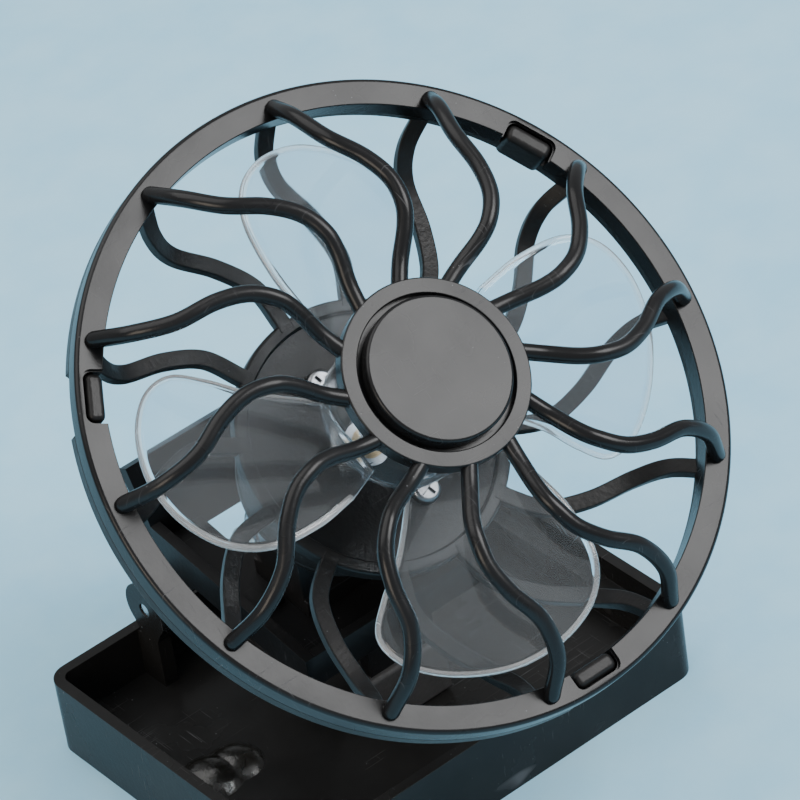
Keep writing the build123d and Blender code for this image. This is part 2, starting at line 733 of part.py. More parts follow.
def motor_brushes():
    """Two springy leaves from the terminals to the commutator's sides."""
    leaves = []
    low = CAN_BACK_Z + CAP_THICKNESS
    for side in (-1, 1):
        inner = COMMUTATOR_RADIUS + 0.1
        x_range = sorted((side * inner, side * (TERMINAL_X + 0.25)))
        foot = block(x_range, (-0.9, 0.9), (low, low + 0.3))
        x_range = sorted((side * inner, side * (inner + 0.4)))
        tip = block(x_range, (-0.9, 0.9), (low, low + 1.5))
        leaves.append(foot + tip)
    return leaves


def motor_magnets():
    """Two arc magnets against the wall of the can."""
    ring = tube(CAN_RADIUS - CAN_WALL, MAGNET_INNER, MAGNET_BACK_Z, MAGNET_FRONT_Z)
    gap = Pos(0, 0, MAGNET_BACK_Z) * Box(MAGNET_GAP, 2 * CAN_RADIUS, 40)
    return (ring - gap).solids()


def motor_shaft():
    shaft = disc(SHAFT_RADIUS, CAN_BACK_Z + 0.3, SHAFT_FRONT_Z)
    return chamfer(shaft.edges().group_by(Axis.Z)[-1], 0.2)


def commutator():
    body = tube(COMMUTATOR_RADIUS, SHAFT_RADIUS, CAN_BACK_Z + 2.0, CORE_BACK_Z)
    for i in range(POLES):
        groove = Pos(COMMUTATOR_RADIUS, 0, -25) * Box(0.7, 0.3, 12)
        body -= Rot(0, 0, i * 360 / POLES + 60) * groove
    return body


def armature_core():
    """Three-pole laminated core: a ring on the shaft, three necks and three shoes."""
    core = tube(3.4, SHAFT_RADIUS, CORE_BACK_Z, CORE_FRONT_Z)
    shoe_ring = tube(CORE_RADIUS, CORE_RADIUS - 1.2, CORE_BACK_Z, CORE_FRONT_Z)
    for i in range(POLES):
        turn = Rot(0, 0, i * 360 / POLES)
        middle = (CORE_BACK_Z + CORE_FRONT_Z) / 2
        depth = CORE_FRONT_Z - CORE_BACK_Z
        core += turn * Pos(5.7, 0, middle) * Box(6.0, CORE_NECK, depth)
        core += turn * (shoe_ring & Pos(8.0, 0, middle) * Box(6.0, 12.0, depth))
    return core


def armature_windings():
    """One enamelled copper winding round each neck of the core."""
    coils = []
    middle = (CORE_BACK_Z + CORE_FRONT_Z) / 2
    depth = CORE_FRONT_Z - CORE_BACK_Z
    for i in range(POLES):
        coil = Pos(5.75, 0, middle) * Box(3.6, 5.6, depth + 2.6)
        coil = fillet(coil.edges().filter_by(Axis.X), 1.0)
        coil -= Pos(5.75, 0, middle) * Box(5.0, CORE_NECK, depth)
        coils.append(Rot(0, 0, i * 360 / POLES) * coil)
    return coils


def motor_screws():
    """Two silver screws through the rear plate into the face of the motor."""
    screws = []
    for angle in MOTOR_SCREW_ANGLES:
        shank = disc(0.8, CAN_FRONT_Z - 1.2, PLATE_FACE_Z)
        head = disc(2.0, PLATE_FACE_Z, PLATE_FACE_Z + 1.3)
        head = fillet(head.edges().group_by(Axis.Z)[-1], 0.6)
        for turn in (0, 90):
            head -= Pos(0, 0, PLATE_FACE_Z + 1.3) * Rot(0, 0, turn + 20) * Box(2.6, 0.5, 1.2)
        screws.append(Pos(*polar(MOTOR_SCREW_RADIUS, angle)) * (shank + head))
    return screws


def motor_cover():
    """Lid on the back of the motor cup, with the knuckle of the tilt hinge."""
    lid = disc(CUP_OUTER, COVER_BACK_Z, CUP_BACK_Z)
    lid = fillet(lid.edges().group_by(Axis.Z)[0], 1.4)
    lid += tube(CUP_INNER, CUP_INNER - 1.0, CUP_BACK_Z - 0.2, CUP_BACK_Z + 1.2)
    half = KNUCKLE_WIDTH / 2
    neck = block((-half, half), (-KNUCKLE_RADIUS, KNUCKLE_RADIUS), (PIVOT_Z, COVER_BACK_Z + 0.3))
    lid += neck + x_cylinder(KNUCKLE_RADIUS, -half, half, 0, PIVOT_Z)
    lid -= x_cylinder(TILT_SCREW_RADIUS + RUNNING_GAP, -half - 1, half + 1, 0, PIVOT_Z)
    lid -= Pos(0, -8.5, COVER_BACK_Z) * Cylinder(1.6, 6)
    return lid


# ---- rotor --------------------------------------------------------------------------
def blade():
    """One flat, broad paddle with a round tip, pitched about its own length."""
    root = ROTOR_HUB_RADIUS - ROTOR_HUB_WALL / 2
    edge = Spline(BLADE_OUTLINE)
    leading = (root, BLADE_OUTLINE[0][1] - 2.8)
    trailing = (root, BLADE_OUTLINE[-1][1] + 2.9)
    outline = make_face(
        [Line(leading, BLADE_OUTLINE[0]), edge, Line(BLADE_OUTLINE[-1], trailing), Line(trailing, leading)]
    )
    plate = extrude(outline, amount=BLADE_THICKNESS / 2, both=True)
    return Pos(0, 0, BLADE_Z) * Rot(BLADE_PITCH, 0, 0) * plate


def fan_rotor():
    """Clear rotor: a cup-shaped hub, a boss on the shaft and four blades."""
    hub = disc(ROTOR_HUB_RADIUS, ROTOR_HUB_BACK, ROTOR_HUB_FRONT)
    hub = fillet(hub.edges().group_by(Axis.Z)[-1], 1.0)
    bore = ROTOR_HUB_RADIUS - ROTOR_HUB_WALL
    for i in range(BLADES):
        hub += Rot(0, 0, BLADE_FIRST_ANGLE + i * 360 / BLADES) * blade()
    hub -= disc(bore, ROTOR_HUB_BACK - 6, ROTOR_HUB_FRONT - ROTOR_HUB_WALL)
    hub += disc(2.8, ROTOR_BOSS_BACK, ROTOR_HUB_FRONT - ROTOR_HUB_WALL / 2)
    return hub - disc(SHAFT_RADIUS, ROTOR_BOSS_BACK - 1, SHAFT_FRONT_Z)


# ---- write the sub-parts ------------------------------------------------------------
def as_group(shape):
    return Compound(children=list(shape)) if isinstance(shape, list) else shape


def write(name, shape, place=None):
    shape = as_group(shape)
    if place is not None:
        shape = place.location * shape
    export_step(shape, f"parts/{name}.step")


ROW_PIECES = [
    panel_housing, solar_backing_board, solar_cells, cell_ribbons, resin_cover, panel_terminals,
    glue_blob, clip_pin, clip_jaw, nose_pad, clip_spring_coil, clip_spring_arm, tilt_bracket,
    bracket_screws, tilt_screw, tilt_washer, tilt_nut,
]
HEAD_PIECES = [
    front_guard, hub_disc, rear_guard, motor_can, front_bushing, rear_bushing, motor_end_cap,
    motor_terminals, motor_brushes, motor_magnets, motor_shaft, commutator, armature_core,
    armature_windings, motor_screws, motor_cover, fan_rotor,
]
for make in ROW_PIECES:
    write(make.__name__, make())
for make in HEAD_PIECES:
    write(make.__name__, make(), HEAD)
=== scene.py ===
import json
from math import cos, pi, radians, sin

import bmesh
import bpy
from mathutils import Matrix, Vector


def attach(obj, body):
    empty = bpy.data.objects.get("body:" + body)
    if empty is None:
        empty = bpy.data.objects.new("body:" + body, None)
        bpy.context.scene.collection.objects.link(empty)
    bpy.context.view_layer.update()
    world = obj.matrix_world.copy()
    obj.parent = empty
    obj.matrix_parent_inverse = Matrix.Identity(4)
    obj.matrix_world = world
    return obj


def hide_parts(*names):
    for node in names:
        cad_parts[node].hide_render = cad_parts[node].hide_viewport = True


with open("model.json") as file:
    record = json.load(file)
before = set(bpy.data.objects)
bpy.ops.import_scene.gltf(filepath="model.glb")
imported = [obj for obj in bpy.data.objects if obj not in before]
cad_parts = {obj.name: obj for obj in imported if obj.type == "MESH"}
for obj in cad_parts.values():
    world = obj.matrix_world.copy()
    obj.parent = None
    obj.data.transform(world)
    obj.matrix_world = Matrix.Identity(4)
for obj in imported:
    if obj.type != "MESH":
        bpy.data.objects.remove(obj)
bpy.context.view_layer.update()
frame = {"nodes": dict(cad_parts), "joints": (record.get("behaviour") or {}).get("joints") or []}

# ---- frame: the fan head's own axes, from the rotor's joint; shapes below are in mm --------
JOINTS = {joint["name"]: joint for joint in frame["joints"]}
MM = 0.001
HEAD_ORIGIN = Vector(JOINTS["rotor_spin"]["pos_m"])
HEAD_Z = Vector(JOINTS["rotor_spin"]["axis"]).normalized()
HEAD_X = Vector((1, 0, 0))
HEAD_Y = HEAD_Z.cross(HEAD_X)
HEAD_TURN = Matrix((HEAD_X, HEAD_Y, HEAD_Z)).transposed().to_4x4()
HEAD = Matrix.Translation(HEAD_ORIGIN) @ HEAD_TURN @ Matrix.Scale(MM, 4)

# ---- camera: the view of the picture --------------------------------------------------------
CAMERA_PLACE = Vector((-0.2880, -0.4338, 0.4412))
CAMERA_RIGHT = Vector((0.760, -0.637, -0.124))
CAMERA_BACK = Vector((-0.454, -0.658, 0.601))
LENS = 229.5

# ---- light ------------------------------------------------------------------------------------
# softboxes: name, direction from the fan head, distance, side, radiance, colour
SOFTBOXES = [
    ("key_softbox", (0.454, -0.503, 0.735), 0.75, 0.42, 10.6, (1.0, 1.0, 1.0)),
    ("top_softbox", (-0.25, 0.40, 0.88), 0.9, 0.9, 2.2, (1.0, 0.99, 0.97)),
    ("side_softbox", (-0.88, -0.22, 0.42), 0.9, 0.4, 6.0, (1.0, 0.86, 0.70)),
]
WORLD_COLOR = (0.93, 0.97, 1.0)
WORLD_STRENGTH = 0.5
FLOOR_HALF = 3.0

# ---- fan head, mm: (radius, angle, height) lists run from the ring to the hub ------------------
# ..._STEPS are the facets round a turned shape, ..._PARTS those between two points of a curve
RING_STEPS = 360
REAR_RING_STEPS = 720
HUB_STEPS = 128
ROTOR_STEPS = 96
SPOKES = 12
SPOKE_RADIUS = 1.08
SPOKE_SIDES = 20
SPOKE_PARTS = 9
SPOKE_R = [40.9, 37.5, 33.0, 29.0, 25.5, 22.0, 19.0, 15.0, 11.2]
SPOKE_ANGLE = [19.9, 20.5, 18.5, 12.6, 8.0, 6.0, 6.5, 10.9, 17.2]
SPOKE_Z = [0.3, 5.4, 8.4, 9.8, 10.6, 10.9, 10.3, 9.15, 8.8]
RIBBON_R = [41.0, 37.5, 34.0, 29.0, 24.0, 19.0, 17.4]
RIBBON_ANGLE = [19.2, 20.3, 18.5, 11.9, 5.8, 4.9, 5.4]
RIBBON_Z = [-3.9, -7.8, -10.9, -12.5, -13.7, -14.6, -14.7]
RIBBON_WIDTH = 2.2
RIBBON_THICKNESS = 1.5
RIBBON_CORNER = 0.22
RIBBON_PARTS = 10
RING_OUTER = 43.1
RING_INNER = 39.5
RING_EDGE = 0.6
RING_BACK = -4.6
RING_JOIN = -2.8
REAR_RING_INNER = 39.85
HUB_RADIUS = 12.4
HUB_TOP = 10.0
HUB_BOTTOM = 7.6
SEAT_RADIUS = 10.3
SEAT_Z = 9.0
DISC_RADIUS = 9.6
DISC_TOP = 11.35
DISC_EDGE = 0.45
DISC_DISH = 0.03
DISC_DISH_RADIUS = 3.0
PLATE_RADIUS = 18.5
PLATE_RIM_INNER = 16.7
PLATE_RIM_Z = -14.0
PLATE_FACE_Z = -15.0
PLATE_BACK_Z = -16.2
BOSS_HOLE_RADIUS = 3.2
CUP_OUTER = 13.3
CUP_INNER = 12.3
CUP_BACK_Z = -30.0
SNAP_ANGLES = [30.0, 150.0, 270.0]
SNAP_HALF = 3.1
SNAP_INNER = 39.4
SNAP_OUTER = 41.75
SNAP_CORNER = 0.9
SNAP_TOP = -0.15
SNAP_EDGE = 0.75
SLOT_GAP = 0.22
POCKET_HALF = 3.5
POCKET_OUTER = 42.1
POCKET_CORNER = 1.1
POCKET_DEPTH = 0.5
CUTTER_INNER = 36.0
POCKET_CUTTER_TOP = 2.0
SLOT_CUTTER_TOP = 1.0
SLOT_CUTTER_BOTTOM = -4.0
NOTCH_HALF = 4.0
NOTCH_DEPTH = 0.7
ROTOR_HUB_RADIUS = 10.0
ROTOR_HUB_INNER = 8.9
ROTOR_FRONT_Z = 6.4
ROTOR_ROOF_Z = 5.3
ROTOR_BACK_Z = -5.6
ROTOR_BOSS_RADIUS = 2.8
ROTOR_BOSS_BACK_Z = -11.0
SHAFT_RADIUS = 1.0
SHAFT_FRONT_Z = 4.8
BLADES = 4
BLADE_PARTS = 8
BLADE_FIRST_ANGLE = 79.6
BLADE_PITCH = 22.1
BLADE_Z = -1.3
BLADE_HALF = 0.4
BLADE_BEAD_HALF = 0.48
BLADE_BEAD_WIDTH = 0.95
BLADE_ROOT = [(9.45, 7.9), (9.45, -4.3)]
BLADE_OUTLINE = [
    (14.0, 10.7), (20.0, 12.8), (27.0, 13.4), (32.0, 11.0), (35.1, 6.0), (36.1, 0.0), (35.3, -5.2),
    (33.0, -10.5), (29.4, -14.6), (25.2, -15.8), (21.2, -13.2), (17.6, -9.7), (14.0, -7.2),
]


# ---- material tools ---------------------------------------------------------------------------
def blank(name):
    material = bpy.data.materials.new(name)
    material.use_nodes = True
    tree = material.node_tree
    return material, tree, tree.nodes["Principled BSDF"]


def coordinates(tree, stretch=(1, 1, 1), turn=(0, 0, 0)):
    place = tree.nodes.new("ShaderNodeTexCoord")
    mapping = tree.nodes.new("ShaderNodeMapping")
    mapping.inputs["Scale"].default_value = stretch
    mapping.inputs["Rotation"].default_value = turn
    tree.links.new(place.outputs["Object"], mapping.inputs["Vector"])
    return mapping.outputs["Vector"]


def noise(tree, scale, detail=3.0, stretch=(1, 1, 1), turn=(0, 0, 0)):
    """Noise whose features are about 1/scale metres across."""
    node = tree.nodes.new("ShaderNodeTexNoise")
    node.inputs["Scale"].default_value = scale
    node.inputs["Detail"].default_value = detail
    tree.links.new(coordinates(tree, stretch, turn), node.inputs["Vector"])
    return node.outputs["Fac"]


def spread(tree, source, low, high, to_low, to_high):
    """Maps the source's low..high to to_low..to_high, and holds it there outside."""
    node = tree.nodes.new("ShaderNodeMapRange")
    node.inputs["From Min"].default_value = low
    node.inputs["From Max"].default_value = high
    node.inputs["To Min"].default_value = to_low
    node.inputs["To Max"].default_value = to_high
    tree.links.new(source, node.inputs["Value"])
    return node.outputs["Result"]


def math(tree, operation, a, b):
    node = tree.nodes.new("ShaderNodeMath")
    node.operation = operation
    for socket, value in zip(node.inputs, (a, b)):
        if isinstance(value, (int, float)):
            socket.default_value = value
        else:
            tree.links.new(value, socket)
    return node.outputs[0]


def mix(tree, factor, first, second):
    node = tree.nodes.new("ShaderNodeMix")
    node.data_type = "RGBA"
    tree.links.new(factor, node.inputs["Factor"])
    for socket, color in ((node.inputs[6], first), (node.inputs[7], second)):
        if isinstance(color, tuple):
            socket.default_value = (*color, 1)
        else:
            tree.links.new(color, socket)
    return node.outputs[2]


def bump(tree, shader, height, distance):
    node = tree.nodes.new("ShaderNodeBump")
    node.inputs["Distance"].default_value = distance
    node.inputs["Strength"].default_value = 1.0
    tree.links.new(height, node.inputs["Height"])
    tree.links.new(node.outputs["Normal"], shader.inputs["Normal"])


def specks(tree, scale, size):
    """Scattered small dots, 1 inside a dot and 0 elsewhere."""
    node = tree.nodes.new("ShaderNodeTexVoronoi")
    node.inputs["Scale"].default_value = scale
    tree.links.new(coordinates(tree), node.inputs["Vector"])
    return spread(tree, node.outputs["Distance"], size * 0.6, size, 1.0, 0.0)


def scratches(tree, amount):
    """Fine crossing hairlines, 0 to 1, only in some patches."""
    one = spread(tree, noise(tree, 1, 1, (90, 5200, 260), (0.4, 0.2, 0.5)), 0.68, 0.76, 0, 1)
    two = spread(tree, noise(tree, 1, 1, (4600, 120, 300), (0.1, 0.6, -0.3)), 0.69, 0.77, 0, 1)
    patch = spread(tree, noise(tree, 70, 2), 0.5, 0.64, 0, amount)
    return math(tree, "MULTIPLY", math(tree, "MAXIMUM", one, two), patch)


# ---- materials ----------------------------------------------------------------------------------
def black_plastic(name, color, rough, rough_spread, grain, scuff, dust, shine):
    """Moulded black plastic: uneven gloss, fine grain, hairline scratches and a little dust."""
    material, tree, shader = blank(name)
    shader.inputs["Specular IOR Level"].default_value = shine
    slow = noise(tree, 75, 4)
    fine = noise(tree, 1500, 3)
    lines = scratches(tree, scuff)
    dusty_patches = spread(tree, noise(tree, 150, 2), 0.54, 0.66, 0, dust)
    dots = math(tree, "MULTIPLY", specks(tree, 900, 0.09), dusty_patches)
    tint = mix(tree, spread(tree, slow, 0.35, 0.65, 0, 1), color, tuple(c * 1.45 for c in color))
    lighter = mix(tree, math(tree, "MULTIPLY", lines, 0.5), tint, (0.16, 0.16, 0.17))
    dusty = mix(tree, dots, lighter, (0.24, 0.25, 0.26))
    tree.links.new(dusty, shader.inputs["Base Color"])
    roughness = spread(tree, slow, 0.3, 0.7, rough - rough_spread, rough + rough_spread)
    roughness = math(tree, "ADD", roughness, math(tree, "MULTIPLY", lines, 0.25))
    roughness = math(tree, "ADD", roughness, math(tree, "MULTIPLY", dots, 0.4))
    tree.links.new(roughness, shader.inputs["Roughness"])
    height = math(tree, "SUBTRACT", math(tree, "MULTIPLY", fine, grain), lines)
    height = math(tree, "ADD", height, math(tree, "MULTIPLY", slow, 3.0))
    bump(tree, shader, height, 0.000012)
    return material


def clear_plastic(name, rough, color=(0.97, 0.985, 1.0), transmission=1.0):
    """Clear polystyrene with faint flow marks, smudges and hairline scratches."""
    material, tree, shader = blank(name)
    shader.inputs["Base Color"].default_value = (*color, 1)
    shader.inputs["Transmission Weight"].default_value = transmission
    shader.inputs["IOR"].default_value = 1.49
    smudge = spread(tree, noise(tree, 110, 1), 0.45, 0.7, rough, rough + 0.05)
    lines = scratches(tree, 0.5)
    tree.links.new(math(tree, "ADD", smudge, math(tree, "MULTIPLY", lines, 0.3)), shader.inputs["Roughness"])
    waves = noise(tree, 1, 0, (60, 150, 60), (0, 0, 0.6))
    bump(tree, shader, waves, 0.00001)
    return material


def metal(name, color, rough, brush=(400, 400, 400), grain=1.0):
    """Metal with brushed or pebbled grain and uneven gloss."""
    material, tree, shader = blank(name)
    shader.inputs["Metallic"].default_value = 1.0
    slow = noise(tree, 300, 3)
    tree.links.new(mix(tree, slow, tuple(c * 0.8 for c in color), color), shader.inputs["Base Color"])
    lines = noise(tree, 1, 3, brush)
    roughness = spread(tree, lines, 0.3, 0.7, rough * 0.75, rough * 1.35)
    tree.links.new(roughness, shader.inputs["Roughness"])
    bump(tree, shader, math(tree, "MULTIPLY", lines, grain), 0.000006)
    return material


def matt(name, color, second, rough, scale=700, grain=6.0):
    """Dull moulded, sintered or coated surface with grain and uneven colour."""
    material, tree, shader = blank(name)
    slow = noise(tree, scale / 6, 4)
    fine = noise(tree, scale * 3, 4)
    tint = mix(tree, spread(tree, slow, 0.35, 0.65, 0, 1), color, second)
    tree.links.new(tint, shader.inputs["Base Color"])
    tree.links.new(spread(tree, fine, 0.3, 0.7, rough - 0.08, rough + 0.08), shader.inputs["Roughness"])
    bump(tree, shader, math(tree, "MULTIPLY", fine, grain), 0.00001)
    return material


def glue(name):
    """Cloudy, half clear melted glue."""
    material, tree, shader = blank(name)
    cloudy = noise(tree, 260, 3)
    tree.links.new(mix(tree, cloudy, (0.10, 0.10, 0.09), (0.22, 0.21, 0.19)), shader.inputs["Base Color"])
    shader.inputs["Transmission Weight"].default_value = 0.93
    shader.inputs["IOR"].default_value = 1.48
    tree.links.new(spread(tree, cloudy, 0.3, 0.7, 0.12, 0.3), shader.inputs["Roughness"])
    bump(tree, shader, math(tree, "MULTIPLY", noise(tree, 420, 3), 20.0), 0.00001)
    return material


def solar_cell(name):
    """Dark blue silicon with fine printed fingers across it."""
    material, tree, shader = blank(name)
    wave = tree.nodes.new("ShaderNodeTexWave")
    wave.bands_direction = "Y"
    wave.inputs["Scale"].default_value = 160
    tree.links.new(coordinates(tree), wave.inputs["Vector"])
    fingers = spread(tree, wave.outputs["Fac"], 0.93, 0.98, 0, 1)
    crystal = noise(tree, 200, 2)
    silicon = mix(tree, crystal, (0.008, 0.014, 0.05), (0.02, 0.035, 0.11))
    tree.links.new(mix(tree, fingers, silicon, (0.5, 0.5, 0.52)), shader.inputs["Base Color"])
    tree.links.new(spread(tree, crystal, 0.3, 0.7, 0.18, 0.34), shader.inputs["Roughness"])
    bump(tree, shader, math(tree, "MULTIPLY", fingers, 1.5), 0.00001)
    return material


def paper_floor():
    """Pale blue paper, faintly mottled."""
    material, tree, shader = blank("floor_paper")
    slow = noise(tree, 9, 4)
    mottle = noise(tree, 95, 5)
    tint = mix(tree, spread(tree, slow, 0.3, 0.7, 0, 1), (0.31, 0.65, 0.88), (0.35, 0.69, 0.91))
    shade = mix(tree, spread(tree, mottle, 0.35, 0.62, 0, 0.5), tint, (0.43, 0.75, 0.94))
    tree.links.new(shade, shader.inputs["Base Color"])
    shader.inputs["Roughness"].default_value = 0.85
    bump(tree, shader, mottle, 0.0003)
    return material


GUARD = black_plastic("guard_black", (0.007, 0.007, 0.0075), 0.27, 0.07, 1.3, 0.6, 0.5, 0.25)
REAR = black_plastic("rear_black", (0.010, 0.0095, 0.0095), 0.42, 0.09, 5.0, 0.5, 0.35, 0.25)
HOUSING = black_plastic("housing_black", (0.012, 0.012, 0.012), 0.24, 0.07, 1.5, 0.8, 0.7, 0.15)
CLIP = black_plastic("clip_black", (0.007, 0.007, 0.0075), 0.36, 0.08, 2.0, 0.7, 0.5, 0.15)
CLEAR = clear_plastic("clear_rotor", 0.015, (0.90, 0.955, 1.0), 0.97)
# whiter, less clear copy of the rotor's plastic for the blades' rims: a painted highlight standing in for
# the bright edge that light gives the rounded rim
CLEAR_EDGE_HIGHLIGHT = clear_plastic("clear_rotor_edge_painted_highlight", 0.16, (0.96, 0.98, 1.0), 0.8)
RESIN = clear_plastic("clear_resin", 0.06, (0.9, 0.93, 0.96))
STEEL = metal("nickel_steel", (0.72, 0.72, 0.74), 0.22)
DARK_STEEL = metal("oiled_steel", (0.34, 0.34, 0.35), 0.3)
SPRING = metal("spring_wire", (0.66, 0.64, 0.60), 0.26, (3000, 500, 3000))
CAN = metal("zinc_can", (0.62, 0.63, 0.65), 0.34, (300, 300, 4000))
TINNED = metal("tinned_copper", (0.75, 0.75, 0.76), 0.3)
BRONZE = metal("sintered_bronze", (0.62, 0.43, 0.22), 0.42, (2500, 2500, 2500), 4.0)
CORE = metal("core_laminations", (0.33, 0.33, 0.35), 0.45, (200, 4000, 4000), 6.0)
COPPER = metal("enamelled_copper", (0.72, 0.30, 0.13), 0.28, (3500, 3500, 300), 8.0)
RUBBER = matt("soft_rubber", (0.035, 0.035, 0.036), (0.055, 0.055, 0.057), 0.62)
BOARD = matt("panel_board", (0.62, 0.63, 0.58), (0.72, 0.73, 0.68), 0.6)
NYLON = matt("motor_nylon", (0.72, 0.72, 0.68), (0.8, 0.8, 0.77), 0.5)
FERRITE = matt("ferrite", (0.05, 0.05, 0.052), (0.085, 0.085, 0.09), 0.75, 1500, 14.0)
GLUE = glue("hot_glue")
CELL = solar_cell("solar_cell")

NODE_MATERIALS = {
    "panel_housing": HOUSING, "solar_backing_board": BOARD, "solar_cells": CELL, "cell_ribbons": TINNED,
    "resin_cover": RESIN, "panel_terminals": TINNED, "glue_blob": GLUE, "clip_pin": STEEL, "clip_jaw": CLIP,
    "nose_pad": RUBBER, "clip_spring_coil": SPRING, "clip_spring_arm": SPRING, "tilt_bracket": CLIP,
    "bracket_screws": STEEL, "tilt_screw": STEEL, "tilt_washer": STEEL, "tilt_nut": STEEL,
    "front_guard": GUARD, "hub_disc": GUARD, "rear_guard": REAR, "motor_can": CAN, "front_bushing": BRONZE,
    "rear_bushing": BRONZE, "motor_end_cap": NYLON, "motor_terminals": TINNED, "motor_brushes": BRONZE,
    "motor_magnets": FERRITE, "motor_shaft": STEEL, "commutator": BRONZE, "armature_core": CORE,
    "armature_windings": COPPER, "motor_screws": DARK_STEEL, "motor_cover": REAR, "fan_rotor": CLEAR,
}

# copies with rounded edges: CAD node, piece, body, slot, width of the rounding in metres, material
SOFTENED = [
    ("panel_housing", "housing_tray", "base", "housing_plastic", 0.0003, HOUSING),
    ("clip_jaw", "jaw_channel", "jaw", "clip_plastic", 0.00022, CLIP),
    ("tilt_bracket", "bracket_clevis", "jaw", "clip_plastic", 0.0003, CLIP),
    ("motor_cover", "cover_lid", "head", "rear_plastic", 0.0002, REAR),
]


# ---- mesh tools -----------------------------------------------------------------------------------
class Shell:
    """Closed shapes in mm on the fan head's axes, gathered into one piece."""

    def __init__(self):
        self.points = []
        self.faces = []
        self.finish = []

    def add(self, points, faces, finish=None):
        start = len(self.points)
        self.points += [Vector(p) for p in points]
        self.faces += [[start + i for i in face] for face in faces]
        self.finish += finish or [0] * len(faces)

    def piece(self, name, node, body, slot, materials, sharp=38.0):
        mesh = bpy.data.meshes.new(name)
        mesh.from_pydata([HEAD @ p for p in self.points], [], self.faces)
        for material in materials:
            mesh.materials.append(material)
        for face, finish in zip(mesh.polygons, self.finish):
            face.material_index = finish
        work = bmesh.new()
        work.from_mesh(mesh)
        bmesh.ops.remove_doubles(work, verts=work.verts, dist=1e-7)
        bmesh.ops.recalc_face_normals(work, faces=work.faces)
        work.to_mesh(mesh)
        work.free()
        return add_piece(name, mesh, node, body, sharp)


def add_piece(name, mesh, node, body, sharp=38.0):
    for face in mesh.polygons:
        face.use_smooth = True
    mesh.set_sharp_from_angle(angle=radians(sharp))
    piece = bpy.data.objects.new(name, mesh)
    bpy.context.scene.collection.objects.link(piece)
    settle_normals(piece)
    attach(piece, body)
    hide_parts(node)
    return piece


def apply_modifiers(piece):
    graph = bpy.context.evaluated_depsgraph_get()
    settled = bpy.data.meshes.new_from_object(piece.evaluated_get(graph))
    piece.modifiers.clear()
    piece.data = settled


def settle_normals(piece):
    """Keeps wide flat faces flat in the shading, next to their small rounded edges."""
    weighted = piece.modifiers.new("weighted", "WEIGHTED_NORMAL")
    weighted.keep_sharp = True
    weighted.weight = 80
    apply_modifiers(piece)


def smooth_line(points, parts):
    """Open Catmull-Rom curve through the points."""
    points = [Vector(p) for p in points]
    line = []
    for i in range(len(points) - 1):
        b, c = points[i], points[i + 1]
        a = points[i - 1] if i else b * 2 - c
        d = points[i + 2] if i + 2 < len(points) else c * 2 - b
        for k in range(parts):
            t = k / parts
            square = (a * 2 - b * 5 + c * 4 - d) * t**2
            cube = (b * 3 - a - c * 3 + d) * t**3
            line.append(0.5 * ((b * 2) + (c - a) * t + square + cube))
    line.append(points[-1])
    return line


def polar(radius, angle, height=0.0):
    return Vector((radius * cos(radians(angle)), radius * sin(radians(angle)), height))


def rounded(corners, steps=4):
    """Closed outline from (x, y, corner radius) points, with arcs at its corners."""
    outline = []
    count = len(corners)
    for i in range(count):
        x, y, radius = corners[i]
        here = Vector((x, y))
        if radius == 0:
            outline.append(here)
            continue
        before = (Vector(corners[i - 1][:2]) - here).normalized()
        after = (Vector(corners[(i + 1) % count][:2]) - here).normalized()
        half = before.angle(after) / 2
        reach = radius / abs(sin(half) / cos(half))
        centre = here + (before + after).normalized() * (radius / sin(half))
        first = here + before * reach - centre
        last = here + after * reach - centre
        for k in range(steps + 1):
            t = k / steps
            outline.append(centre + first.slerp(last, t).normalized() * radius)
    return outline


def lathe(shell, outline, steps, change=None):
    """Turns a closed (radius, height) outline round z; change may move its points."""
    rings = []
    for i in range(steps):
        angle = 360 * i / steps
        for r, z in outline:
            if change:
                r, z = change(r, z, angle)
            rings.append(polar(r, angle, z))
    size = len(outline)
    faces = []
    for i in range(steps):
        a, b = i * size, (i + 1) % steps * size
        for k in range(size):
            n = (k + 1) % size
            faces.append([a + k, b + k, b + n, a + n])
    shell.add(rings, faces)


def sweep(shell, line, section, scales=None):
    """Carries a closed section (across, up) along a line, with flat ends."""
    points = []
    count = len(line)
    size = len(section)
    scales = scales or [1.0] * count
    for i, here in enumerate(line):
        along = (line[min(i + 1, count - 1)] - line[max(i - 1, 0)]).normalized()
        across = along.cross(Vector((0, 0, 1))).normalized()
        up = across.cross(along).normalized()
        points += [here + across * (a * scales[i]) + up * (b * scales[i]) for a, b in section]
    faces = []
    for i in range(count - 1):
        for k in range(size):
            n = (k + 1) % size
            faces.append([i * size + k, (i + 1) * size + k, (i + 1) * size + n, i * size + n])
    faces.append(list(range(size)))
    faces.append([(count - 1) * size + k for k in range(size)])
    shell.add(points, faces)


def circle(radius, sides):
    return [(radius * cos(2 * pi * k / sides), radius * sin(2 * pi * k / sides)) for k in range(sides)]


def rounded_end(line, radius, steps=5):
    """Lengthens a line with points for a round nose; returns it with each point's scale."""
    back = (line[0] - line[1]).normalized()
    nose = [line[0] + back * radius * sin(pi / 2 * k / steps) for k in range(steps, 0, -1)]
    scales = [max(cos(pi / 2 * k / steps), 0.02) for k in range(steps, 0, -1)]
    return nose + line, scales + [1.0] * len(line)


def near(angle, centre, radius, half):
    """True where a point at this angle and radius lies within half, in mm, of the centre angle."""
    off = (angle - centre + 180) % 360 - 180
    return abs(radians(off)) * radius < half


# ---- fan head -----------------------------------------------------------------------------------
def snap_outline(inner, outer, half, corner):
    """Rounded rectangle in the ring's plane, at angle 0."""
    corners = [(inner, half), (outer, half), (outer, -half), (inner, -half)]
    return rounded([(x, y, corner) for x, y in corners], 5)


